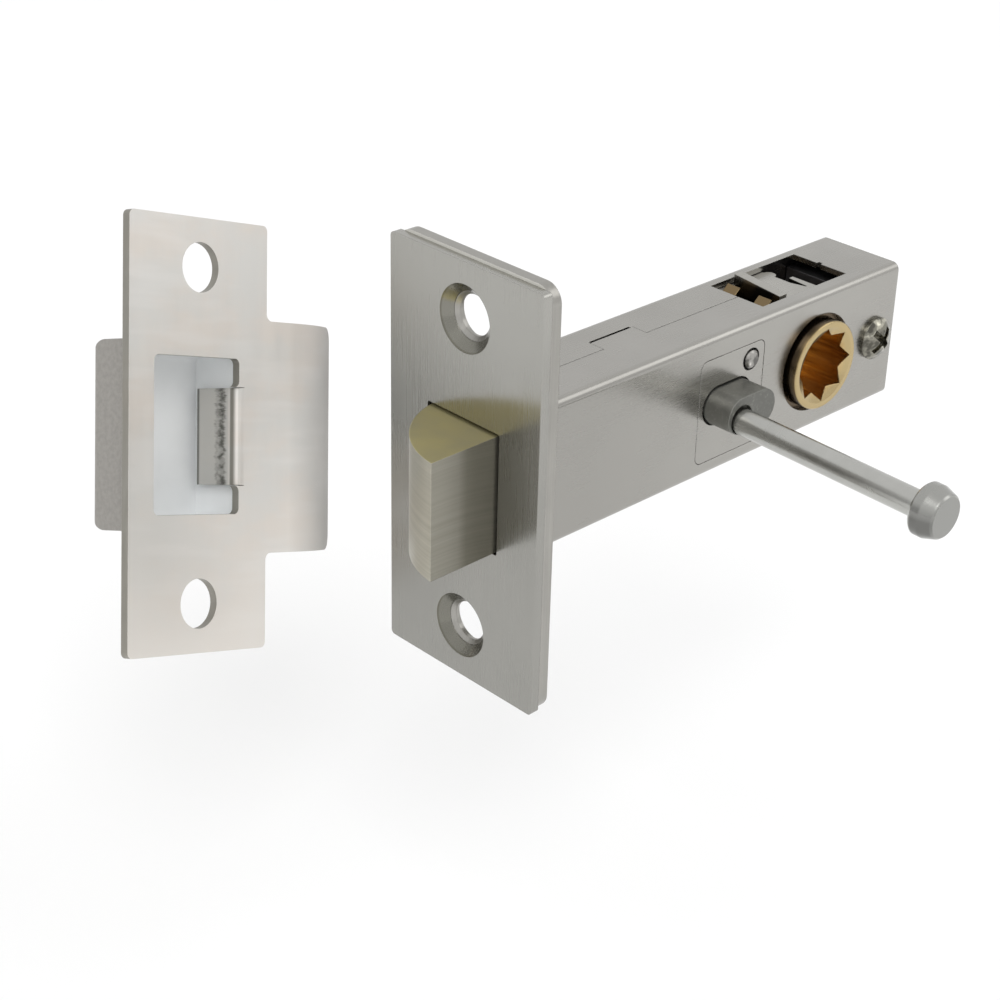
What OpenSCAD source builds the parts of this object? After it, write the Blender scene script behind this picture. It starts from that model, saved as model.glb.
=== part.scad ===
// Mortice tubular latch with a privacy snib, and its lipped strike with a dust box.
// X runs into the door along the case, Y runs across the door and Z is up.
// The origin is the centre of the face plate's front face.
// The snib pin stands out on the -Y side. The strike stands free, at the angle it is shown.

/* [Face plate] */
// Height of the face plate
plate_h = 57; // [56:0.5:64]
// Width of the face plate
plate_w = 26.5; // [24:0.5:32]
// Thickness of the outer face plate
plate_t = 1.3; // [1:0.1:2]
// Thickness of the forend plate behind it
forend_t = 1.5; // [1.2:0.1:2]
// Distance between the two fixing screws
screw_pitch = 42.5; // [40:0.5:46]
// Diameter of a fixing screw's hole
screw_hole_d = 5.2; // [4:0.1:5.6]
// Diameter of the countersink at the front face
sink_d = 8.8; // [8:0.1:10]

/* [Case] */
// Width of the case across the door
case_w = 14; // [13.6:0.1:16]
// Height of the case
case_h = 20.2; // [20.2:0.1:22]
// Length from the front face to the end of the case
case_end = 77; // [77:0.5:90]
// Thickness of the case sheet
wall = 0.8; // [0.6:0.1:0.9]
// Radius of the case's folded edges
case_edge_r = 1.1; // [1:0.1:2]

/* [Bolt] */
// Width of the bolt
bolt_w = 12.1; // [11:0.1:12.2]
// Height of the bolt
bolt_h = 16; // [15.8:0.1:16]
// How far the bolt stands out, and how far it draws in
bolt_throw = 10.6; // [10:0.1:10.7]
// Radius of the bolt's curved bevel
bevel_r = 13.2; // [13:0.1:15]

/* [Hub] */
// Distance from the front face to the spindle
backset = 60; // [60:0.5:60.5]
// Side of the square spindle hole
spindle = 7.7; // [7:0.1:8]
// Outer diameter of the hub's ring
hub_ring_d = 12.8; // [12.4:0.1:13.4]
// Reach of the hub's fingers from the spindle's centre
finger_reach = 12.4; // [12.2:0.1:12.5]
// Lean of the fingers towards the bolt at rest, in degrees
finger_lean = 39.5; // [39:0.1:40]

/* [Snib] */
// Distance from the front face to the snib pin
snib_x = 39.3; // [39:0.1:39.5]
// Travel of the snib across the door
snib_travel = 4.4; // [3:0.1:5]
// Diameter of the snib pin
pin_d = 3.6; // [3:0.1:4]
// Distance from the case's centre to the tip of the snib pin
pin_reach = 44.2; // [30:0.1:60]

/* [Strike] */
// Height of the strike
strike_h = 57; // [56:0.5:64]
// Width of the strike without its lip
strike_w = 25; // [24:0.5:26]
// Thickness of the strike
strike_t = 1.2; // [1:0.1:1.5]
// Distance between the strike's two screw holes
strike_pitch = 44; // [42:0.5:46]
// Diameter of a strike screw hole
strike_hole_d = 6.6; // [5:0.1:7]
// Reach of the lip from the strike's centre
lip_reach = 28.6; // [26:0.1:29]
// Where the middle of the strike stands
strike_place = [-12.8, 36.7, -3.9];
// How the strike leans, turned about Y, then X, then Z
strike_lean = [[0, 22, 0], [-17, 0, 0], [0, 0, 12]];

/* [Hidden] */
$fn = 64;

case_front = plate_t + forend_t;
inner_w = case_w - 2 * wall;
inner_h = case_h - 2 * wall;
side_y = case_w / 2;
tiny = 0.05;

// Opening for the bolt in both front plates
window_w = 12.8;
window_h = 16.6;
// The forend is a little taller than the face plate and has round corners
forend_h = plate_h + 0.8;
forend_corner_r = 2.4;
// Tabs of the case that are staked through the forend
tab_w = 6;

// Openings in the top and the bottom of the case, where the fingers and lugs pass
slot_from = 50.5;
slot_to = 68.3;
slot_y = [-4.4, 5];
// The folded sheet's seam and its locking tab
seam_w = 0.14;
seam_tab = [24.4, 32.4];
seam_tab_reach = 2.4;

// Bolt body
bolt_back = 17.5;
spring_bore_d = 9;
spring_front = 8;
hook_x = 14.9;
hook_t = 1.2;
hook_w = 6;

// Retractor sheets, one above and one below the bolt
sheet_in = 8.1;
sheet_out = 9.2;
sheet_w = 11.2;
lug_x = 54.9;
lug_t = 1.5;
lug_y = [-3.6, 4.5];
lug_top = [10.1, 10.85];
sheet_back = 63.5;

// Hub
hub_body_r = 7.7;
hub_face = 8.6;
hub_gap = 0.7;
// The spindle hole is dished out to its points
hub_sink_r = 5.55;
finger_t = 2;
finger_y = [1.67, 3.87];

// Snib
slider_l = 9.2;
slider_h = 5.2;
slider_front = 11.4;
slider_back = 6.9;
slider_mid = snib_x + (slider_l - slider_h) / 2;
// The pin is pressed in a little low and leans down slightly
pin_z = -0.5;
pin_root = 4.1;
pin_lean = 1.5;
housing = [35, 47.2];
housing_z = [-7.4, 7.9];
cover = [35.7, 48.3];
cover_z = [-7.9, 7];
cover_r = 1.1;
fine_gap = 0.09;
rivet_at = [45.7, 4.75];
ball_d = 3;
ball_z = 3.6;

// Rear block and its screw
block_front = 68.4;
screw_x = 72.7;
screw_head_r = 3.1;
nut_af = 6;

// Strike
strike_r = 0.8;
lip_half_h = 15.7;
lip_corner_r = 2.2;
lip_flat_to = 18.4;
lip_curve_r = 18;
strike_window = [-8.15, 7.3];
strike_window_h = 20.7;
catch_half_h = 6.5;
catch_from = 7;
catch_to = 7.6;
catch_bend_r = 1.3;
box_u = [-9.4, 9.4];
box_half_h = 12.4;
box_depth = 9.1;
box_wall = 1;

// ---------- shared shapes ----------

module rounded_rect(w, h, r) {
    square([w - 2 * r, h], center = true);
    square([w, h - 2 * r], center = true);
    for (x = [-1, 1], y = [-1, 1])
        translate([x * (w / 2 - r), y * (h / 2 - r)]) circle(r = r);
}

module obround(length, height) {
    square([length - height, height], center = true);
    for (x = [-1, 1])
        translate([x * (length - height) / 2, 0]) circle(d = height);
}

// A profile drawn as (Y, Z), run along X
module x_prism(from, to) {
    translate([from, 0, 0]) rotate([90, 0, 90]) linear_extrude(to - from) children();
}

// A profile drawn as (X, Z), run along Y
module y_prism(from, to) {
    translate([0, to, 0]) rotate([90, 0, 0]) linear_extrude(to - from) children();
}

// A profile drawn as (X, Y), run along Z
module z_prism(from, to) {
    translate([0, 0, from]) linear_extrude(to - from) children();
}

module box(low, high) {
    translate(low) cube(high - low);
}

module x_rod(r, from, to) {
    translate([from, 0, 0]) rotate([0, 90, 0]) cylinder(h = to - from, r = r);
}

module y_rod(r, at, from, to) {
    translate([at[0], to, at[1]]) rotate([90, 0, 0]) cylinder(h = to - from, r = r);
}

module flip_z() {
    children();
    mirror([0, 0, 1]) children();
}

// Round wire wound about the X axis, with a closed-up turn at each end
module x_coil(coil_r, wire_r, from, to, turns, steps, sides) {
    rings = turns * steps;
    closed = 1.2;
    tight = 2.15 * wire_r;
    run = to - from - 2 * wire_r;
    loose = (run - 2 * closed * tight) / (turns - 2 * closed);
    function along(t) =
        t < closed ? t * tight :
        t > turns - closed ? run - (turns - t) * tight :
        closed * tight + (t - closed) * loose;
    points = [for (i = [0:rings], j = [0:sides - 1])
        let (a = 360 * i / steps, b = 360 * j / sides, r = coil_r + wire_r * cos(b))
        [from + wire_r + along(i / steps) - wire_r * sin(b), r * cos(a), r * sin(a)]];
    quads = [for (i = [0:rings - 1], j = [0:sides - 1])
        let (k = (j + 1) % sides, p = i * sides, q = p + sides)
        [p + j, q + j, q + k, p + k]];
    first = [for (j = [0:sides - 1]) j];
    last = [for (j = [0:sides - 1]) rings * sides + sides - 1 - j];
    polyhedron(points = points, faces = concat([first], quads, [last]), convexity = 8);
}

// ---------- face plates ----------

module bolt_window() {
    x_prism(-1, case_front + 1) rounded_rect(window_w, window_h, 0.3);
}

module fixing_holes() {
    sink_depth = (sink_d - screw_hole_d) / 2;
    for (z = [-1, 1]) translate([0, 0, z * screw_pitch / 2]) {
        translate([-0.1, 0, 0]) rotate([0, 90, 0])
            cylinder(h = sink_depth + 0.1, r1 = sink_d / 2 + 0.1, r2 = screw_hole_d / 2);
        x_rod(screw_hole_d / 2, -1, case_front + 1);
        x_rod(screw_hole_d / 2 + 0.5, case_front - 0.6, case_front + 1);
    }
}

module case_tabs(front, gap) {
    for (z = [-1, 1]) translate([front, -(tab_w + gap) / 2, z * (case_h - wall) / 2 - (wall + gap) / 2])
        cube([case_front - front + tiny, tab_w + gap, wall + gap]);
}

module face_plate() {
    color([0.68, 0.67, 0.64]) difference() {
        x_prism(0, plate_t) rounded_rect(plate_w, plate_h, 0.6);
        bolt_window();
        fixing_holes();
    }
}

module forend_plate() {
    color([0.62, 0.61, 0.58]) difference() {
        x_prism(plate_t, case_front) rounded_rect(plate_w, forend_h, forend_corner_r);
        bolt_window();
        fixing_holes();
        case_tabs(plate_t - 1, 0.1);
    }
}

// ---------- case ----------

module seam() {
    top = case_h / 2;
    z0 = top - wall - 1;
    z1 = top + 1;
    box([case_front, -seam_w / 2, z0], [seam_tab[0], seam_w / 2, z1]);
    box([seam_tab[1], -seam_w / 2, z0], [slot_from + 1, seam_w / 2, z1]);
    for (x = seam_tab)
        box([x - 0.04, -seam_w / 2, z0], [x + 0.04, seam_tab_reach + 0.2, z1]);
    box([seam_tab[0] + 0.1, seam_tab_reach, z0], [seam_tab[1] - 0.4, seam_tab_reach + 0.45, z1]);
    box([slot_to - 1, 0.1, z0], [slot_to + 0.5, 0.8, z1]);
}

module case_tube() {
    color([0.66, 0.66, 0.63]) difference() {
        union() {
            x_prism(case_front, case_end) difference() {
                rounded_rect(case_w, case_h, case_edge_r);
                rounded_rect(inner_w, inner_h, case_edge_r - wall);
            }
            case_tabs(plate_t + 0.1, 0);
        }
        flip_z() box([slot_from, slot_y[0], inner_h / 2 - 1], [slot_to, slot_y[1], case_h]);
        seam();
        y_rod(hub_ring_d / 2 + hub_gap, [backset, 0], -case_w, case_w);
        y_prism(-case_w, 0) cover_outline(fine_gap);
        translate([slider_mid, 0, 0]) y_prism(0, case_w) obround(slider_l + 0.5, slider_h + 0.5);
        y_rod(1.6, rivet_at, 0, case_w);
        y_rod(1.85, [screw_x, 0], -case_w, case_w);
    }
}

module end_block() {
    color([0.3, 0.31, 0.32]) difference() {
        union() {
            box([block_front, -inner_w / 2 + 0.1, -7.8], [case_end - 0.8, inner_w / 2 - 0.1, 7.8]);
            x_prism(case_end - 0.8, case_end) square([inner_w - 0.1, inner_h - 0.1], center = true);
        }
        y_rod(1.85, [screw_x, 0], -case_w, case_w);
        translate([screw_x, 0, 0]) y_prism(3, case_w) rotate(30)
            circle(d = (nut_af + 0.2) / cos(30), $fn = 6);
    }
}

module case_screw() {
    dome_r = 4.2;
    color([0.62, 0.61, 0.57]) difference() {
        union() {
            intersection() {
                y_rod(screw_head_r, [screw_x, 0], -side_y - 1.9, -side_y);
                translate([screw_x, -side_y - 1.9 + dome_r, 0]) sphere(r = dome_r);
            }
            y_rod(1.75, [screw_x, 0], -side_y - 0.1, 6.8);
        }
        for (a = [45, 135])
            translate([screw_x, -side_y - 1.9, 0]) rotate([0, a, 0])
                cube([4.2, 3, 1], center = true);
    }
}

module case_nut() {
    color([0.55, 0.55, 0.53]) difference() {
        translate([screw_x, 0, 0]) y_prism(3.1, 6) rotate(30) circle(d = nut_af / cos(30), $fn = 6);
        y_rod(1.8, [screw_x, 0], 0, case_w);
    }
}

// ---------- bolt and spring ----------

module bolt_profile() {
    centre_x = -bolt_throw + bevel_r;
    intersection() {
        translate([-bolt_throw, -bolt_w / 2]) square([bolt_throw + bolt_back, bolt_w]);
        union() {
            translate([centre_x, bolt_w / 2 - bevel_r]) circle(r = bevel_r, $fn = 128);
            translate([centre_x, -bolt_w / 2]) square([bolt_back, bolt_w]);
        }
    }
}

module latch_bolt() {
    hook_back = hook_x + hook_t + 0.2;
    color([0.5, 0.49, 0.45]) difference() {
        z_prism(-bolt_h / 2, bolt_h / 2) bolt_profile();
        x_rod(spring_bore_d / 2, spring_front, bolt_back + 1);
        flip_z() box([hook_back - bolt_throw - hook_t - 0.2, -hook_w / 2 - 0.2, 5.4],
                     [hook_back, hook_w / 2 + 0.2, bolt_h]);
    }
}

module bolt_spring() {
    color([0.75, 0.75, 0.74]) x_coil(3.75, 0.36, spring_front + 0.05, housing[0] - 0.05, 12, 20, 8);
}

module spring_post() {
    color([0.7, 0.7, 0.68]) union() {
        x_rod(2.7, 22.5, housing[0] - tiny);
        x_rod(2.3, 22, 22.5);
    }
}

// ---------- retractors ----------

// The sheet's rear end: a rounded ear, and a spring strip split off by a wedge-shaped slot
module retractor_tail() {
    lug_back = lug_x + lug_t;
    polygon([
        [lug_back - 0.1, -sheet_w / 2], [61.3, -sheet_w / 2], [61.3, -5], [sheet_back, -5],
        [sheet_back, 1.1], [62.7, 1.1], [62.35, -2.4], [62.15, -2.4], [61.5, -0.2],
        [61.5, sheet_w / 2], [lug_back - 0.1, sheet_w / 2],
    ]);
    translate([61.5, 3.7]) circle(r = 0.95);
}

module retractor() {
    lug_back = lug_x + lug_t;
    difference() {
        union() {
            z_prism(sheet_in, sheet_out) {
                translate([hook_x, -sheet_w / 2]) square([lug_back - hook_x, sheet_w]);
                retractor_tail();
            }
            x_prism(lug_x, lug_back) polygon([
                [lug_y[0], sheet_in], [lug_y[1], sheet_in], [lug_y[1], lug_top[1]], [lug_y[0], lug_top[0]],
            ]);
            box([hook_x, -hook_w / 2, 5.6], [hook_x + hook_t, hook_w / 2, sheet_out]);
        }
        box([lug_x - 7.8, -4.25, 0], [lug_x, 4.25, case_h]);
    }
}

module upper_retractor() {
    color([0.66, 0.66, 0.63]) retractor();
}

module lower_retractor() {
    color([0.66, 0.66, 0.63]) mirror([0, 0, 1]) retractor();
}

// ---------- hub ----------

module finger() {
    translate([backset, 0, 0]) rotate([0, -finger_lean, 0])
        box([-finger_t / 2, finger_y[0], 0], [finger_t / 2, finger_y[1], finger_reach]);
}

// One half of the hub, on the +Y side
module hub_half() {
    sink_depth = 0.72;
    difference() {
        union() {
            y_rod(hub_body_r, [backset, 0], tiny, inner_w / 2 - 0.1);
            y_rod(hub_ring_d / 2, [backset, 0], tiny, hub_face - 0.15);
            translate([backset, hub_face, 0]) rotate([90, 0, 0])
                cylinder(h = 0.15, r1 = hub_ring_d / 2 - 0.15, r2 = hub_ring_d / 2);
            flip_z() finger();
        }
        translate([backset, hub_face, 0]) rotate([90, 0, 0])
            cylinder(h = sink_depth, r1 = hub_sink_r, r2 = hub_sink_r - 2 * sink_depth);
        translate([backset, 0, 0]) y_prism(-1, hub_face + 1) union() {
            square(spindle, center = true);
            rotate(45) square(spindle, center = true);
        }
    }
}

module hub_near() {
    color([0.82, 0.68, 0.4]) mirror([0, 1, 0]) hub_half();
}

module hub_far() {
    color([0.8, 0.66, 0.38]) hub_half();
}

// ---------- snib ----------

module cover_outline(gap) {
    middle = [(cover[0] + cover[1]) / 2, (cover_z[0] + cover_z[1]) / 2];
    translate(middle)
        rounded_rect(cover[1] - cover[0] + 2 * gap, cover_z[1] - cover_z[0] + 2 * gap, cover_r + gap);
}

module snib_cover() {
    color([0.67, 0.66, 0.64]) difference() {
        y_prism(-side_y, -inner_w / 2) cover_outline(0);
        translate([slider_mid, 0, 0]) y_prism(-case_w, 0) obround(slider_l + 0.5, slider_h + 0.5);
        y_rod(1.6, rivet_at, -case_w, 0);
    }
}

module snib_housing() {
    side = inner_w / 2 - 0.1;
    color([0.45, 0.46, 0.46]) difference() {
        box([housing[0], -side, housing_z[0]], [housing[1], side, housing_z[1]]);
        translate([slider_mid, 0, 0]) y_prism(-case_w, case_w) obround(slider_l + 0.3, slider_h + 0.3);
        y_rod(1.35, rivet_at, -case_w, case_w);
        translate([slider_mid, 0, 0]) cylinder(h = housing_z[1] - 0.5, r = ball_d / 2 + 0.1);
    }
}

// The rivet's ends stand a little proud, with a bevelled rim
module housing_rivet() {
    rivet_r = 1.3;
    bevel = 0.3;
    half = side_y + 0.1;
    color([0.6, 0.6, 0.57]) translate([rivet_at[0], 0, rivet_at[1]]) rotate([90, 0, 0])
        rotate_extrude() polygon([
            [0, -half - bevel], [rivet_r - bevel, -half - bevel], [rivet_r, -half],
            [rivet_r, half], [rivet_r - bevel, half + bevel], [0, half + bevel],
        ]);
}

module snib_slider() {
    groove_depth = 0.55;
    color([0.47, 0.48, 0.46]) difference() {
        translate([slider_mid, 0, 0]) y_prism(-slider_front, slider_back) obround(slider_l, slider_h);
        y_rod(pin_d / 2 + 0.25, [snib_x, pin_z], -slider_front - 1, -slider_front + 0.8);
        at_pin() y_rod(pin_d / 2, [0, 0], -slider_front, 0);
        box([snib_x - 0.25, -slider_front - 1, -slider_h], [snib_x + 0.25, -slider_front + 1.4, pin_z]);
        box([slider_mid - 1.6, -snib_travel - 1.6, slider_h / 2 - groove_depth],
            [slider_mid + 1.6, 1.6, slider_h]);
        for (y = [0, -snib_travel])
            translate([slider_mid, y, ball_z - 0.1]) sphere(d = ball_d + 0.2);
    }
}

// Places a shape on the pin's line, with the pin's root at its origin
module at_pin() {
    translate([snib_x, -pin_root, pin_z]) rotate([pin_lean, 0, 0]) children();
}

module snib_pin() {
    length = pin_reach - pin_root;
    r = pin_d / 2;
    color([0.68, 0.67, 0.65]) at_pin() rotate([90, 0, 0]) rotate_extrude() polygon([
        [0, 0], [r, 0], [r, length - 4.1], [r + 1.5, length - 3.4], [r + 1.75, length - 3.1],
        [r + 1.75, length - 1.9], [r + 1.2, length - 0.25], [r + 0.95, length], [0, length],
    ]);
}

module detent_ball() {
    color([0.75, 0.75, 0.73]) translate([slider_mid, 0, ball_z]) sphere(d = ball_d);
}

module detent_spring() {
    spring_z = ball_z + ball_d / 2 + 0.02;
    color([0.75, 0.75, 0.74]) translate([slider_mid, 0, 0]) rotate([0, -90, 0])
        x_coil(1.15, 0.16, spring_z, housing_z[1] - 0.52, 5, 14, 6);
}

// ---------- strike ----------

// Places a strike shape: local X is across, Y into the jamb and Z up
module at_strike() {
    translate(strike_place) rotate(strike_lean[2]) rotate(strike_lean[1]) rotate(strike_lean[0])
        children();
}

// Section of the plate and its lip, drawn as (X, Y)
module strike_section() {
    translate([-strike_w / 2, 0]) square([strike_w / 2 + lip_flat_to, strike_t]);
    translate([lip_flat_to, lip_curve_r]) intersection() {
        difference() {
            circle(r = lip_curve_r, $fn = 128);
            circle(r = lip_curve_r - strike_t, $fn = 128);
        }
        translate([0, -lip_curve_r]) square([lip_curve_r, lip_curve_r]);
    }
}

// Outline of the plate and its lip, drawn as (X, Z)
module strike_outline() {
    fillet_r = 1;
    right = strike_w / 2;
    difference() {
        union() {
            rounded_rect(strike_w, strike_h, strike_r);
            translate([lip_reach / 2, 0]) rounded_rect(lip_reach, 2 * lip_half_h, lip_corner_r);
            translate([right, -lip_half_h - fillet_r]) square([fillet_r, 2 * (lip_half_h + fillet_r)]);
        }
        for (z = [-1, 1])
            translate([right + fillet_r, z * (lip_half_h + fillet_r)]) circle(r = fillet_r);
    }
}

module strike_catch() {
    bend_r = catch_bend_r;
    z_prism(-catch_half_h, catch_half_h) union() {
        translate([catch_from, bend_r]) square([strike_t, catch_to - bend_r]);
        intersection() {
            translate([catch_from + bend_r, bend_r]) difference() {
                circle(r = bend_r);
                circle(r = bend_r - strike_t);
            }
            translate([catch_from, 0]) square([bend_r, bend_r]);
        }
        translate([catch_from + bend_r, 0]) square([0.6, strike_t]);
    }
}

// The window, with rounded corners beside the catch, and a cut where the catch bends in
module window_outline() {
    w = strike_window[1] - strike_window[0];
    r = 0.8;
    side = catch_half_h + 0.08;
    difference() {
        translate([(strike_window[0] + strike_window[1]) / 2, 0]) rounded_rect(w, strike_window_h, r);
        for (z = [-1, 1])
            translate([strike_window[1] - r / 2, z * (side + r / 2)]) difference() {
                square(r + 0.01, center = true);
                translate([-r / 2, z * r / 2]) circle(r = r);
            }
    }
    translate([strike_window[1] - 0.01, -side])
        square([catch_from + catch_bend_r - strike_window[1] + 0.01, 2 * side]);
}

module strike_plate() {
    color([0.8, 0.78, 0.74]) at_strike() union() {
        difference() {
            intersection() {
                z_prism(-strike_h, strike_h) strike_section();
                y_prism(-1, lip_curve_r) strike_outline();
            }
            y_prism(-1, strike_t + 1) window_outline();
            for (z = [-1, 1])
                y_rod(strike_hole_d / 2, [0, z * strike_pitch / 2], -1, strike_t + 1);
        }
        strike_catch();
    }
}

module dust_box() {
    outer_w = box_u[1] - box_u[0];
    middle = (box_u[0] + box_u[1]) / 2;
    depth = box_depth;
    side_edge = 1;
    corner = 2.4;
    inner = corner - box_wall;
    color([0.8, 0.81, 0.8]) at_strike() translate([middle, strike_t, 0]) difference() {
        intersection() {
            z_prism(-box_half_h, box_half_h)
                translate([0, -depth / 2]) rounded_rect(outer_w, 3 * depth, side_edge);
            x_prism(-outer_w, outer_w)
                rounded_rect(2 * depth, 2 * box_half_h, corner);
            box([-outer_w, 0, -strike_h], [outer_w, depth, strike_h]);
        }
        x_prism(-outer_w / 2 + box_wall, outer_w / 2 - box_wall)
            rounded_rect(2 * (depth - box_wall), 2 * (box_half_h - box_wall), inner);
    }
}

face_plate();
forend_plate();
case_tube();
end_block();
case_screw();
case_nut();
latch_bolt();
bolt_spring();
spring_post();
upper_retractor();
lower_retractor();
hub_near();
hub_far();
snib_cover();
snib_housing();
housing_rivet();
snib_slider();
snib_pin();
detent_ball();
detent_spring();
strike_plate();
dust_box();
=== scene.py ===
"""Looks for a tubular mortice latch with its privacy snib, strike plate and dust box."""

import math

import bpy
from mathutils import Matrix, Vector


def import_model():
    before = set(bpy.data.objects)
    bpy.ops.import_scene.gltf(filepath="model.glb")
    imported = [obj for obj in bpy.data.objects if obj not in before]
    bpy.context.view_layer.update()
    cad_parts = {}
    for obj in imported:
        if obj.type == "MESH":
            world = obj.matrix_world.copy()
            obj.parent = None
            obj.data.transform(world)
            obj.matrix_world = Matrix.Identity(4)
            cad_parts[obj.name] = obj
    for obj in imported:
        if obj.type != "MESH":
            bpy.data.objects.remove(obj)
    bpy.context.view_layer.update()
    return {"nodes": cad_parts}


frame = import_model()
MM = 0.001
X, Y, Z = Vector((1, 0, 0)), Vector((0, 1, 0)), Vector((0, 0, 1))

# The strike's own place and axes: across its face, into the jamb, and up along its face
STRIKE_AT = Vector((-12.8 * MM, 36.7 * MM, -3.9 * MM))
STRIKE_TURN = (
    Matrix.Rotation(math.radians(12), 3, "Z")
    @ Matrix.Rotation(math.radians(-17), 3, "X")
    @ Matrix.Rotation(math.radians(22), 3, "Y")
)
ON_STRIKE = (STRIKE_AT, tuple(STRIKE_TURN.col))

# Middles of the turned pieces, whose axes all lie along Y
HUB_CENTRE = (60 * MM, 0, 0)
PIN_CENTRE = (39.3 * MM, 0, -0.9 * MM)
SCREW_CENTRE = (72.7 * MM, 0, 0)
RIVET_CENTRE = (45.7 * MM, 0, 4.75 * MM)

# Grains, in spots per metre along each axis
ALONG_X = (60, 2600, 2600)
ALONG_Z = (3800, 3800, 50)
ALONG_STRIKE = (260, 260, 45)
ROUGH_CAST = (800, 800, 800)


# ---------- node graphs ----------

class Graph:
    """A material's node tree, built by small steps that each return a socket."""

    def __init__(self, name):
        self.material = bpy.data.materials.new(name)
        self.material.use_nodes = True
        self.tree = self.material.node_tree
        self.tree.nodes.clear()

    def add(self, kind, **settings):
        node = self.tree.nodes.new(kind)
        for key, value in settings.items():
            setattr(node, key, value)
        return node

    def plug(self, source, target):
        if isinstance(source, bpy.types.NodeSocket):
            self.tree.links.new(source, target)
        else:
            target.default_value = source

    def math(self, operation, a, b=0.0, clamp=False):
        node = self.add("ShaderNodeMath", operation=operation, use_clamp=clamp)
        self.plug(a, node.inputs[0])
        self.plug(b, node.inputs[1])
        return node.outputs[0]

    def vector(self, operation, a, b=None, output=0):
        node = self.add("ShaderNodeVectorMath", operation=operation)
        self.plug(a, node.inputs[0])
        if b is not None:
            self.plug(b, node.inputs[1])
        return node.outputs[output]

    def less(self, vector, offset):
        return self.vector("SUBTRACT", vector, offset)

    def stretch(self, vector, scale):
        return self.vector("MULTIPLY", vector, scale)

    def along(self, vector, axis):
        return self.vector("DOT_PRODUCT", vector, axis, output="Value")

    def length(self, vector):
        return self.vector("LENGTH", vector, output="Value")

    def from_axis(self, vector, centre):
        """Distance from the line along Y that goes through the centre."""
        return self.length(self.stretch(self.less(vector, centre), (1, 0, 1)))

    def join(self, *parts):
        """A vector with the given parts. Those left out are 0."""
        node = self.add("ShaderNodeCombineXYZ")
        for part, socket in zip(parts, node.inputs):
            self.plug(part, socket)
        return node.outputs[0]

    def place(self, frame_of=None):
        """Object coordinates in metres, or those of a turned and shifted frame."""
        coords = self.add("ShaderNodeTexCoord").outputs["Object"]
        if frame_of is None:
            return coords
        origin, axes = frame_of
        moved = self.less(coords, origin)
        return self.join(*(self.along(moved, axis) for axis in axes))

    def normal(self):
        return self.add("ShaderNodeTexCoord").outputs["Normal"]

    def noise(self, vector, scale, detail=3.0, rough=0.55):
        """Noise from 0 to 1 with the given number of spots per metre along each axis."""
        node = self.add("ShaderNodeTexNoise")
        self.plug(self.stretch(vector, scale), node.inputs["Vector"])
        node.inputs["Scale"].default_value = 1.0
        node.inputs["Detail"].default_value = detail
        node.inputs["Roughness"].default_value = rough
        return node.outputs["Fac"]

    def spread(self, value, low, high, to_low=0.0, to_high=1.0):
        """The value's way from low to high, mapped to the other range. Low may be above high."""
        node = self.add("ShaderNodeMapRange")
        self.plug(value, node.inputs["Value"])
        node.inputs["From Min"].default_value = low
        node.inputs["From Max"].default_value = high
        node.inputs["To Min"].default_value = to_low
        node.inputs["To Max"].default_value = to_high
        return node.outputs["Result"]

    def over(self, value, edge, soft):
        """1 above the edge, with half the fade on either side of it."""
        return self.spread(value, edge - soft, edge + soft)

    def under(self, value, edge, soft):
        return self.spread(value, edge + soft, edge - soft)

    def within(self, value, low, high, soft):
        """1 between two values, fading out over the soft width on both sides."""
        rise = self.spread(value, low - soft, low)
        return self.math("MULTIPLY", rise, self.spread(value, high + soft, high))

    def facing(self, axis, low=0.3, high=0.8):
        """1 where the surface faces along the axis, in the object's own coordinates."""
        return self.spread(self.along(self.normal(), axis), low, high)

    def times(self, *masks):
        result = masks[0]
        for mask in masks[1:]:
            result = self.math("MULTIPLY", result, mask)
        return result

    def blend(self, factor, a, b):
        node = self.add("ShaderNodeMix", data_type="RGBA")
        self.plug(factor, node.inputs["Factor"])
        colour_a, colour_b = node.inputs[6:8]
        for tone, socket in ((a, colour_a), (b, colour_b)):
            self.plug(tone if isinstance(tone, bpy.types.NodeSocket) else (*tone, 1), socket)
        return node.outputs[2]

    def edges(self, radius):
        """The normal rounded over edges, and a mask that is 1 along them."""
        bevel = self.add("ShaderNodeBevel", samples=4)
        bevel.inputs["Radius"].default_value = radius
        flat = self.add("ShaderNodeNewGeometry").outputs["True Normal"]
        soft = bevel.outputs[0]
        return soft, self.spread(self.along(soft, flat), 0.99, 0.8)

    def smeared(self, along):
        """The tangent that draws reflections out along a direction, never quite zero."""
        never_zero = (0.02, 0.013, 0.017)
        normal = self.add("ShaderNodeNewGeometry").outputs["Normal"]
        side = self.vector("CROSS_PRODUCT", normal, along)
        return self.less(self.vector("CROSS_PRODUCT", side, normal), never_zero)

    def bump(self, height, distance, normal):
        node = self.add("ShaderNodeBump")
        node.inputs["Strength"].default_value = 1.0
        node.inputs["Distance"].default_value = distance
        self.plug(height, node.inputs["Height"])
        self.plug(normal, node.inputs["Normal"])
        return node.outputs[0]

    def finish(self, colour, roughness, metallic=1.0, normal=None, smear=None):
        shader = self.add("ShaderNodeBsdfPrincipled")
        self.plug(colour, shader.inputs["Base Color"])
        self.plug(roughness, shader.inputs["Roughness"])
        shader.inputs["Metallic"].default_value = metallic
        if normal is not None:
            self.plug(normal, shader.inputs["Normal"])
        if smear is not None:
            shader.inputs["Anisotropic"].default_value = 0.65
            self.plug(self.smeared(smear), shader.inputs["Tangent"])
        output = self.add("ShaderNodeOutputMaterial")
        self.plug(shader.outputs[0], output.inputs["Surface"])
        return self.material


def shade(colour, factor):
    return tuple(min(1.0, c * factor) for c in colour)


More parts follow.
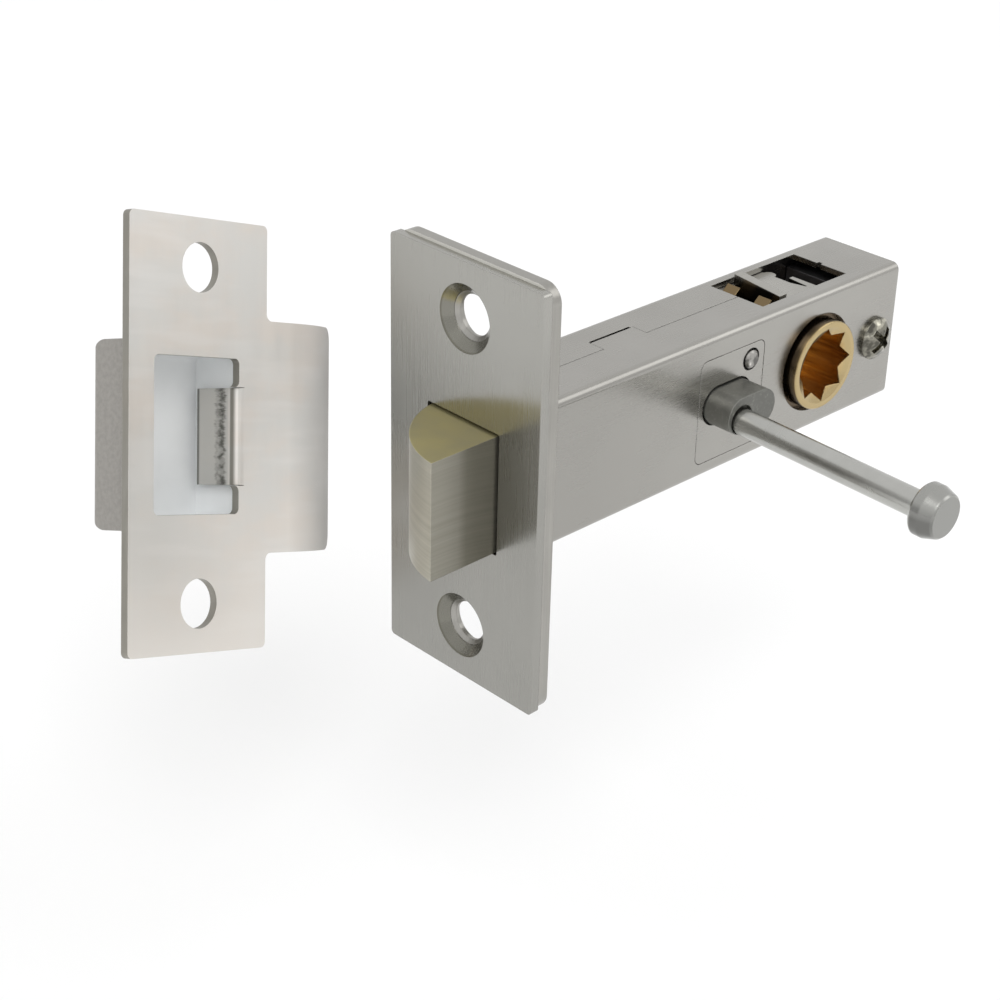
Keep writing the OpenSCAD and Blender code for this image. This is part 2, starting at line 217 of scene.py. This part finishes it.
class Steel(Graph):
    """Brushed or cast metal: streaks, cloudy tone, worn edges. Masks can then change it."""

    SPECKS = (2600, 2600, 2600)
    CLOUD_SHADE = 0.62
    WORN_SHADE = 1.35

    def __init__(self, name, colour, grain, roughness, streak=0.08, blotch=0.10, wear=0.3,
                 edge=0.15 * MM, depth=0.001 * MM, frame_of=None, blotch_scale=130):
        super().__init__(name)
        self.at = self.place(frame_of)
        self.base = colour
        self.lines = self.noise(self.at, grain, detail=4, rough=0.65)
        self.cloud = self.noise(self.at, (blotch_scale,) * 3, detail=3)
        self.soft, edge_mask = self.edges(edge)
        speck = self.spread(self.noise(self.at, self.SPECKS, detail=1), 0.3, 0.6, 0.4 * wear, wear)
        self.worn = self.math("MULTIPLY", edge_mask, speck)
        tone = self.blend(self.spread(self.lines, 0.3, 0.7), shade(colour, 1 - streak),
                          shade(colour, 1 + streak))
        self.colour = self.blend(self.spread(self.cloud, 0.3, 0.7, 0, blotch), tone,
                                 shade(colour, self.CLOUD_SHADE))
        grit = self.math("ADD", self.spread(self.lines, 0.25, 0.75, -0.05, 0.05),
                         self.spread(self.cloud, 0.3, 0.7, -0.04, 0.04))
        self.rough = self.math("ADD", grit, roughness, clamp=True)
        self.depth = depth

    def paint(self, mask, colour):
        self.colour = self.blend(mask, self.colour, colour)

    def done(self, smear=None, metallic=1.0):
        final = self.blend(self.worn, self.colour, shade(self.base, self.WORN_SHADE))
        normal = self.bump(self.lines, self.depth, self.soft)
        return self.finish(final, self.rough, metallic=metallic, normal=normal, smear=smear)


# ---------- materials ----------

def metal(name, colour, grain, roughness):
    return Steel(name, colour, grain, roughness).done()


def plate_metal():
    """Satin steel with an upright grain and smooth turned countersinks; painted light makes it
    paler toward its top, and painted shade darkens the countersinks and holes.
    """
    screw_up, hole_r, sink_r, skin = 21.25 * MM, 2.9 * MM, 4.6 * MM, 0.06 * MM
    g = Steel("satin_plate", (0.335, 0.33, 0.308), ALONG_Z, 0.27, streak=0.03, blotch=0.16,
              blotch_scale=60)
    x, z = g.along(g.at, X), g.along(g.at, Z)
    # painted light: the plate is made paler toward its top
    g.paint(g.spread(z, 0.0, 26 * MM), shade(g.base, 1.15))
    from_screw = g.math("SUBTRACT", g.math("ABSOLUTE", z), screw_up)
    radius = g.length(g.join(g.along(g.at, Y), from_screw))
    sink = g.times(g.under(radius, sink_r, 0.1 * MM), g.spread(x, 0.0, skin))
    rim = g.within(radius, sink_r - 0.3 * MM, sink_r, 0.15 * MM)
    # painted shade in the countersinks, strongest at their rim
    g.paint(g.times(sink, g.spread(rim, 0, 1, 0.6, 0.9)), (0.13, 0.125, 0.095))
    # painted shade inside the screw holes
    g.paint(g.under(radius, hole_r, 0.1 * MM), (0.12, 0.115, 0.10))
    return g.done(smear=Y)


def forend_metal():
    """Steel with a painted highlight, pale and matt, on the ledge that shows above and below the
    face plate.
    """
    ledge_up, extra_rough = 27.75 * MM, 0.4
    g = Steel("forend_steel", (0.37, 0.36, 0.335), ALONG_Z, 0.33, blotch=0.2)
    tall = g.math("ABSOLUTE", g.along(g.at, Z))
    ledge = g.times(g.facing(-X), g.over(tall, ledge_up, 0.25 * MM))
    # painted highlight: the ledge is painted pale as if lit
    g.paint(ledge, (0.85, 0.84, 0.80))
    g.rough = g.math("ADD", g.rough, g.math("MULTIPLY", ledge, extra_rough), clamp=True)
    return g.done()


def case_metal(name):
    """Steel brushed along the case, with a painted dark reflection of the face plate on its side
    toward the plate.
    """
    near, far = 15 * MM, 50 * MM
    g = Steel(name, (0.395, 0.385, 0.36), ALONG_X, 0.25, streak=0.02, blotch=0.14,
              blotch_scale=90, depth=0.0004 * MM)
    dark = g.times(g.facing(-Y), g.spread(g.along(g.at, X), far, near))
    # painted dark reflection of the face plate, on the side near the plate
    g.paint(dark, shade(g.base, 0.86))
    return g.done(smear=X)


def strike_metal():
    """Pale satin steel with faint wavy bands, and a catch sheared rough across its face. Painted
    light makes its lower part paler; painted shade darkens its cut edges, the catch and its bend
    and end, and the lip.
    """
    behind = 1.4 * MM  # just behind the sheet, which is 1.2 mm thick
    plate_side = 12.8 * MM  # only the lip reaches past this
    catch_bend, catch_back, catch_end = 7.45 * MM, 8.5 * MM, 7.2 * MM
    lip_start, lip_end = 17 * MM, 28 * MM
    g = Steel("strike_steel", (0.68, 0.645, 0.60), ALONG_STRIKE, 0.42, streak=0.03, blotch=0.05,
              frame_of=ON_STRIKE, blotch_scale=70, depth=0.0004 * MM)
    u, v, w = (g.along(g.at, axis) for axis in (X, Y, Z))
    across, deep, _ = STRIKE_TURN.col

    mottle = g.noise(g.at, (70, 70, 110), detail=4)
    waves = g.noise(g.at, (45, 45, 280), detail=2)
    g.paint(g.spread(mottle, 0.42, 0.6, 0.0, 0.5), (0.64, 0.65, 0.635))
    g.paint(g.spread(mottle, 0.5, 0.36, 0.0, 0.5), (0.70, 0.64, 0.58))
    g.paint(g.spread(waves, 0.5, 0.62, 0.0, 0.4), (0.74, 0.72, 0.69))
    # painted light: the strike is made paler toward its bottom
    g.paint(g.spread(w, -6 * MM, -28 * MM, 0.0, 0.8), shade(g.base, 1.12))

    # painted shade on the sheet's cut edges, streaked by the grain
    edge_on = g.spread(g.math("ABSOLUTE", g.along(g.normal(), deep)), 0.6, 0.3)
    sides = g.times(edge_on, g.under(u, plate_side, 0.1 * MM), g.under(v, behind, 0.1 * MM))
    g.paint(g.times(sides, g.spread(g.lines, 0.3, 0.7, 0.75, 0.95)), (0.20, 0.19, 0.16))

    # painted shade on the catch's bend and the window edges beside it, toning down their
    # reflection
    bend = g.times(g.facing(-across, 0.45, 0.85), g.over(u, catch_bend, 0.05 * MM))
    g.paint(g.math("MULTIPLY", bend, 0.9), (0.40, 0.385, 0.355))
    catch = g.times(g.spread(v, 1.5 * MM, 1.9 * MM), g.under(u, catch_back, 0.1 * MM))
    # painted shade on the catch's face inside the box, stronger deeper in
    g.paint(g.times(catch, g.spread(v, 1.6 * MM, 2.2 * MM, 0.5, 0.8)), (0.50, 0.49, 0.46))

    tears = g.noise(g.at, (10, 10, 900), detail=4, rough=0.8)
    torn = g.math("ADD", v, g.spread(tears, 0.25, 0.75, -0.7 * MM, 0.7 * MM))
    crumbs = g.spread(g.noise(g.at, (900, 900, 1600), detail=2), 0.4, 0.6)
    patchy = g.spread(crumbs, 0, 1, 0.3, 0.8)
    band = g.within(torn, 2.5 * MM, 3.9 * MM, 0.4 * MM)
    crack = g.within(torn, 2.7 * MM, 3.1 * MM, 0.5 * MM)
    g.paint(g.times(catch, band, patchy), (0.25, 0.24, 0.22))
    g.paint(g.times(catch, crack, patchy), (0.07, 0.07, 0.06))

    # painted shade on the lip where it curves away, patchy with the cloud
    lip = g.times(g.spread(u, lip_start, lip_end), g.spread(g.cloud, 0.3, 0.7, 0.85, 1))
    g.paint(lip, shade(g.base, 0.36))
    # painted shadow along the catch's far end
    catch_end_shadow = g.times(catch, g.over(v, catch_end, 0.1 * MM))
    g.paint(g.math("MULTIPLY", catch_end_shadow, 0.8), (0.10, 0.10, 0.09))
    return g.done(metallic=0.45)


def bolt_metal():
    """Ground steel whose wheel left wide curved marks, warmer in tone on top. Painted light lies
    on its top and its faces toward -X, painted shade on its flat -Y side.
    """
    wheel_centre = (-10 * MM, 0, -45 * MM)
    nose, shoulder = -6.2 * MM, -4.8 * MM
    g = Steel("bolt_steel", (0.36, 0.345, 0.29), (30, 30, 30), 0.34, streak=0.03, blotch=0.2,
              wear=0.4, edge=0.2 * MM)
    arcs = g.noise(g.join(g.from_axis(g.at, wheel_centre)), (1300, 1, 1), detail=5, rough=0.75)
    g.lines = arcs
    g.depth = 0.004 * MM
    top = g.facing(Z)
    # painted shade on the flat -Y side
    g.paint(g.facing(-Y), shade(g.base, 0.80))
    # painted light on the faces toward -X, the curved bevel among them
    g.paint(g.facing(-X, 0.2, 0.6), shade(g.base, 1.2))
    # painted light on the top, partly a real warmer tone
    g.paint(g.times(top, g.spread(g.cloud, 0.3, 0.7, 0.6, 1.0)), (0.60, 0.53, 0.25))
    # painted dark reflection of the face plate on the flat side, growing toward the plate
    plate_reflection_dark = g.times(g.facing(-Y), g.spread(g.along(g.at, X), nose, shoulder))
    g.paint(g.math("MULTIPLY", plate_reflection_dark, 0.45), (0.15, 0.14, 0.10))
    marks = g.times(g.spread(arcs, 0.4, 0.6, 0.0, 0.24), g.math("SUBTRACT", 1.0, top))
    g.paint(marks, (0.12, 0.115, 0.09))
    return g.done(metallic=0.8)


def turned(name, colour, centre, grooves, roughness):
    """Metal cut on a lathe about an axis along Y: fine rings, more of them on the faces."""
    g = Steel(name, colour, (40, 40, 40), roughness, streak=0.02, blotch=0.12, wear=0.35,
              edge=0.2 * MM, blotch_scale=220, depth=0.0003 * MM)
    g.radius = g.from_axis(g.at, centre)
    ring = g.join(g.radius, g.along(g.at, Y))
    g.lines = g.noise(ring, (grooves, grooves / 6, 1), detail=3, rough=0.6)
    g.paint(g.spread(g.lines, 0.3, 0.7, 0.0, 0.25), shade(colour, 0.7))
    return g


def patchy_highlight_metal(name, colour, centre, roughness):
    """Small turned heads blotched at random with dark patches and with bright patches that are
    painted highlights.
    """
    g = turned(name, colour, centre, 2500, roughness)
    patches = g.noise(g.at, (620, 620, 620), detail=2)
    g.paint(g.spread(patches, 0.5, 0.42, 0, 0.85), shade(colour, 0.3))
    # painted highlights in the bright patches
    g.paint(g.spread(patches, 0.57, 0.66, 0, 0.8), shade(colour, 2.2))
    return g.done()


def hub_metal():
    """Bright brass faces, a tarnished amber bore with painted highlight streaks, painted shade on
    the ring's outer wall, and grease with painted shade in the gap where it turns in the case.
    """
    g = turned("hub_brass", (0.50, 0.39, 0.205), HUB_CENTRE, 3000, 0.24)
    depth = g.math("ABSOLUTE", g.along(g.at, Y))
    tarnish_and_sheen = g.noise(g.at, (700, 60, 700), detail=3, rough=0.6)

    bore = g.times(g.under(g.radius, 5.55 * MM, 0.05 * MM), g.spread(depth, 8.3 * MM, 7.5 * MM))
    g.paint(g.times(bore, g.spread(tarnish_and_sheen, 0.3, 0.7, 0.8, 1.0)), (0.66, 0.43, 0.17))
    g.paint(g.times(bore, g.spread(tarnish_and_sheen, 0.5, 0.36)), (0.34, 0.19, 0.06))
    # painted highlights: bright streaks along the bore
    g.paint(g.times(bore, g.spread(tarnish_and_sheen, 0.56, 0.64, 0, 0.8)), (0.92, 0.70, 0.34))

    wall = g.times(g.spread(g.radius, 6.2 * MM, 6.33 * MM), g.spread(depth, 8.55 * MM, 8.4 * MM))
    # painted shade on the ring's outer wall
    g.paint(g.math("MULTIPLY", wall, 0.9), (0.17, 0.12, 0.065))
    g.worn = g.math("MULTIPLY", g.worn, 0.4)

    # grease and painted shade in the gap round the ring, where the hub turns in the case
    grease_and_gap_shade = g.times(g.over(g.radius, 6.1 * MM, 0.1 * MM), g.under(g.radius, 8.4 * MM, 0.2 * MM),
                     g.spread(depth, 8.35 * MM, 7.9 * MM))
    g.paint(g.times(grease_and_gap_shade, g.spread(tarnish_and_sheen, 0.3, 0.7, 0.85, 1.0)), (0.10, 0.075, 0.05))
    return g.done()


def pin_metal():
    """A turned pin with painted shade underneath and on its head."""
    head_start = -41.15 * MM
    g = turned("pin_steel", (0.50, 0.50, 0.475), PIN_CENTRE, 2200, 0.25)
    # painted shade underneath the pin
    shaded_underside = g.times(g.facing(-Z, -0.1, 0.45), g.facing(X, -0.75, 0.2))
    g.paint(g.times(shaded_underside, g.spread(g.cloud, 0.3, 0.7, 0.6, 0.8)), shade(g.base, 0.3))
    head = g.under(g.along(g.at, Y), head_start, 0.15 * MM)
    # painted shade on the head, patchy, and darkest on its lower side facing -X
    g.paint(g.times(head, g.spread(g.cloud, 0.35, 0.65, 0.7, 1.0)), shade(g.base, 0.72))
    g.paint(g.times(head, g.facing(-X, 0.3, 0.8), g.facing(-Z, -0.5, 0.0)), shade(g.base, 0.35))
    # painted shade on the faces toward -Y, the head's end face among them
    g.paint(g.facing(-Y, 0.85, 0.97), shade(g.base, 0.62))
    return g.done()


def cast_metal(name, colour, roughness=0.45):
    """Die-cast zinc: a granular skin, painted shade on its -Y faces, paler on its rounded edges.
    """
    g = Steel(name, colour, ROUGH_CAST, roughness, streak=0.10, blotch=0.25, wear=0.35,
              edge=0.3 * MM, depth=0.012 * MM)
    grains = g.noise(g.at, (2400, 2400, 2400), detail=3, rough=0.7)
    # painted shade on the faces toward -Y
    g.paint(g.facing(-Y, 0.8, 0.97), shade(colour, 0.66))
    g.paint(g.spread(grains, 0.55, 0.8, 0.0, 0.5), shade(colour, 1.6))
    return g.done()


def sheet_metal():
    """The retractors' sheet, with painted shade on the face the hub's fingers push."""
    g = Steel("retractor_steel", (0.42, 0.41, 0.38), ALONG_X, 0.3, streak=0.05)
    x = g.along(g.at, X)
    tall = g.math("ABSOLUTE", g.along(g.at, Z))
    # painted shade on the lug's front face, down in the dark opening
    shaded_lug_face = g.times(g.facing(-X), g.spread(x, 52 * MM, 53 * MM),
                     g.spread(tall, 10.7 * MM, 10.0 * MM))
    g.paint(g.math("MULTIPLY", shaded_lug_face, 0.93), (0.045, 0.04, 0.03))
    return g.done()


def box_plastic():
    """Pale moulded plastic with a faint orange peel, and painted shade making it grey on its
    outside.
    """
    colour, shaded_grey = (0.90, 0.915, 0.92), (0.29, 0.277, 0.256)
    half_width, half_height, back, skin = 9.0 * MM, 12.0 * MM, 9.9 * MM, 0.1 * MM
    g = Graph("pale_plastic")
    at = g.place(ON_STRIKE)
    peel = g.noise(at, (900, 900, 900), detail=2)
    cloud = g.noise(at, (90, 90, 90), detail=3)
    grain = g.noise(at, (1500, 1500, 1500), detail=3)
    soft, edge_mask = g.edges(0.2 * MM)
    pale_inner_tone = g.blend(g.spread(cloud, 0.3, 0.7), shade(colour, 0.94), shade(colour, 1.03))
    # painted shade: the outside takes a darker grey copy of the plastic, finely grained
    shaded_outer_tone = g.blend(g.spread(grain, 0.35, 0.65), shade(shaded_grey, 0.92), shade(shaded_grey, 1.06))
    across = g.over(g.math("ABSOLUTE", g.along(at, X)), half_width, skin)
    tall = g.over(g.math("ABSOLUTE", g.along(at, Z)), half_height, skin)
    deep = g.over(g.along(at, Y), back, skin)
    outside = g.math("MAXIMUM", g.math("MAXIMUM", across, tall), deep)
    tone = g.blend(outside, pale_inner_tone, shaded_outer_tone)
    final = g.blend(g.math("MULTIPLY", edge_mask, 0.25), tone, shade(colour, 1.1))
    rough = g.spread(peel, 0.3, 0.7, 0.38, 0.5)
    return g.finish(final, rough, metallic=0.0, normal=g.bump(peel, 0.004 * MM, soft))


MATERIALS = {
    "face_plate": plate_metal(),
    "forend_plate": forend_metal(),
    "case_tube": case_metal("case_steel"),
    "snib_cover": case_metal("cover_steel"),
    "end_block": metal("block_steel", (0.15, 0.145, 0.15), ROUGH_CAST, 0.5),
    "case_screw": patchy_highlight_metal("screw_steel", (0.26, 0.25, 0.21), SCREW_CENTRE, 0.12),
    "case_nut": turned("nut_steel", (0.40, 0.39, 0.37), SCREW_CENTRE, 2500, 0.35).done(),
    "latch_bolt": bolt_metal(),
    "bolt_spring": metal("spring_wire", (0.55, 0.54, 0.52), ALONG_X, 0.25),
    "detent_spring": metal("small_spring_wire", (0.55, 0.54, 0.52), ALONG_X, 0.25),
    "spring_post": metal("post_steel", (0.42, 0.41, 0.39), ALONG_X, 0.35),
    "upper_retractor": sheet_metal(),
    "hub_near": hub_metal(),
    "housing_rivet": patchy_highlight_metal("rivet_steel", (0.36, 0.35, 0.33), RIVET_CENTRE, 0.3),
    "snib_housing": cast_metal("housing_zinc", (0.22, 0.22, 0.22), 0.5),
    "snib_slider": cast_metal("slider_zinc", (0.25, 0.25, 0.23)),
    "snib_pin": pin_metal(),
    "detent_ball": metal("ball_steel", (0.6, 0.6, 0.6), ROUGH_CAST, 0.12),
    "strike_plate": strike_metal(),
    "dust_box": box_plastic(),
}
MATERIALS["lower_retractor"] = MATERIALS["upper_retractor"]
MATERIALS["hub_far"] = MATERIALS["hub_near"]

for node, material in MATERIALS.items():
    for slot in frame["nodes"][node].material_slots:
        slot.material = material


# ---------- floor, light and camera ----------

FLOOR_HEIGHT, FLOOR_HALF = -75 * MM, 6
PAPER_DARK, PAPER_LIGHT = (0.94, 0.94, 0.94), (0.96, 0.96, 0.96)
WORLD_LIGHT, WORLD_DARK, DARK_TOWARD = 0.92, 0.55, (-0.87, 0.49, 0.1)
CAMERA_AT = (-158.02 * MM, -169.32 * MM, 122.68 * MM)


def link(thing):
    bpy.context.scene.collection.objects.link(thing)


def floor(height, half):
    mesh = bpy.data.meshes.new("floor")
    corners = [(-half, -half, height), (half, -half, height),
               (half, half, height), (-half, half, height)]
    mesh.from_pydata(corners, [], [(0, 1, 2, 3)])
    thing = bpy.data.objects.new("floor", mesh)
    link(thing)
    g = Graph("floor_paper")
    cloud = g.noise(g.place(), (3, 3, 3), detail=2)
    mesh.materials.append(g.finish(g.blend(cloud, PAPER_DARK, PAPER_LIGHT), 0.9, metallic=0.0))


def area_light(name, place, aim, size, watts):
    light = bpy.data.lights.new(name, "AREA")
    light.shape = "DISK"
    light.size = size
    light.energy = watts
    thing = bpy.data.objects.new(name, light)
    thing.location = place
    thing.rotation_euler = (Vector(aim) - Vector(place)).to_track_quat("-Z", "Y").to_euler()
    link(thing)


def camera(place, azimuth, elevation, roll, lens):
    """Azimuth 0 looks along +Y. The angles say where the camera stands and how it tips."""
    az, el, tip = (math.radians(a) for a in (azimuth, elevation, roll))
    back = Vector((math.sin(az) * math.cos(el), -math.cos(az) * math.cos(el), math.sin(el)))
    right = Z.cross(back).normalized()
    up = back.cross(right)
    side = math.cos(tip) * right + math.sin(tip) * up
    top = math.cos(tip) * up - math.sin(tip) * right
    data = bpy.data.cameras.new("camera")
    data.lens = lens
    data.sensor_width = 36
    data.clip_start = 0.01
    thing = bpy.data.objects.new("camera", data)
    turn = Matrix((side, top, back)).transposed().to_4x4()
    thing.matrix_world = Matrix.Translation(place) @ turn
    link(thing)
    bpy.context.scene.camera = thing


def world(light, dark, toward):
    """A pale studio, darker toward one side so upright edges have something to reflect."""
    made = bpy.data.worlds.new("studio")
    made.use_nodes = True
    tree = made.node_tree
    sky = tree.nodes["Background"]
    sky.inputs["Color"].default_value = (1, 1, 1, 1)
    coords = tree.nodes.new("ShaderNodeTexCoord")
    dot = tree.nodes.new("ShaderNodeVectorMath")
    dot.operation = "DOT_PRODUCT"
    dot.inputs[1].default_value = Vector(toward).normalized()
    ramp = tree.nodes.new("ShaderNodeMapRange")
    ramp.interpolation_type = "SMOOTHSTEP"
    # The From values are cosines: the darkening starts 26 degrees off its middle, and is full at 8
    ends = {"From Min": 0.90, "From Max": 0.99, "To Min": light, "To Max": dark}
    for socket, value in ends.items():
        ramp.inputs[socket].default_value = value
    tree.links.new(coords.outputs["Generated"], dot.inputs[0])
    tree.links.new(dot.outputs["Value"], ramp.inputs["Value"])
    tree.links.new(ramp.outputs["Result"], sky.inputs["Strength"])
    bpy.context.scene.world = made


floor(FLOOR_HEIGHT, FLOOR_HALF)
world(WORLD_LIGHT, WORLD_DARK, DARK_TOWARD)
area_light("key", place=(-1.0, -1.3, 2.0), aim=(0, 0, 0), size=1.5, watts=15)
area_light("edge", place=(0.9, -0.7, 0.93), aim=(0.03, 0, 0), size=0.9, watts=2.0)
camera(CAMERA_AT, azimuth=-44.196, elevation=28.479, roll=1.418, lens=76.784)
bpy.context.scene.view_settings.view_transform = "Standard"
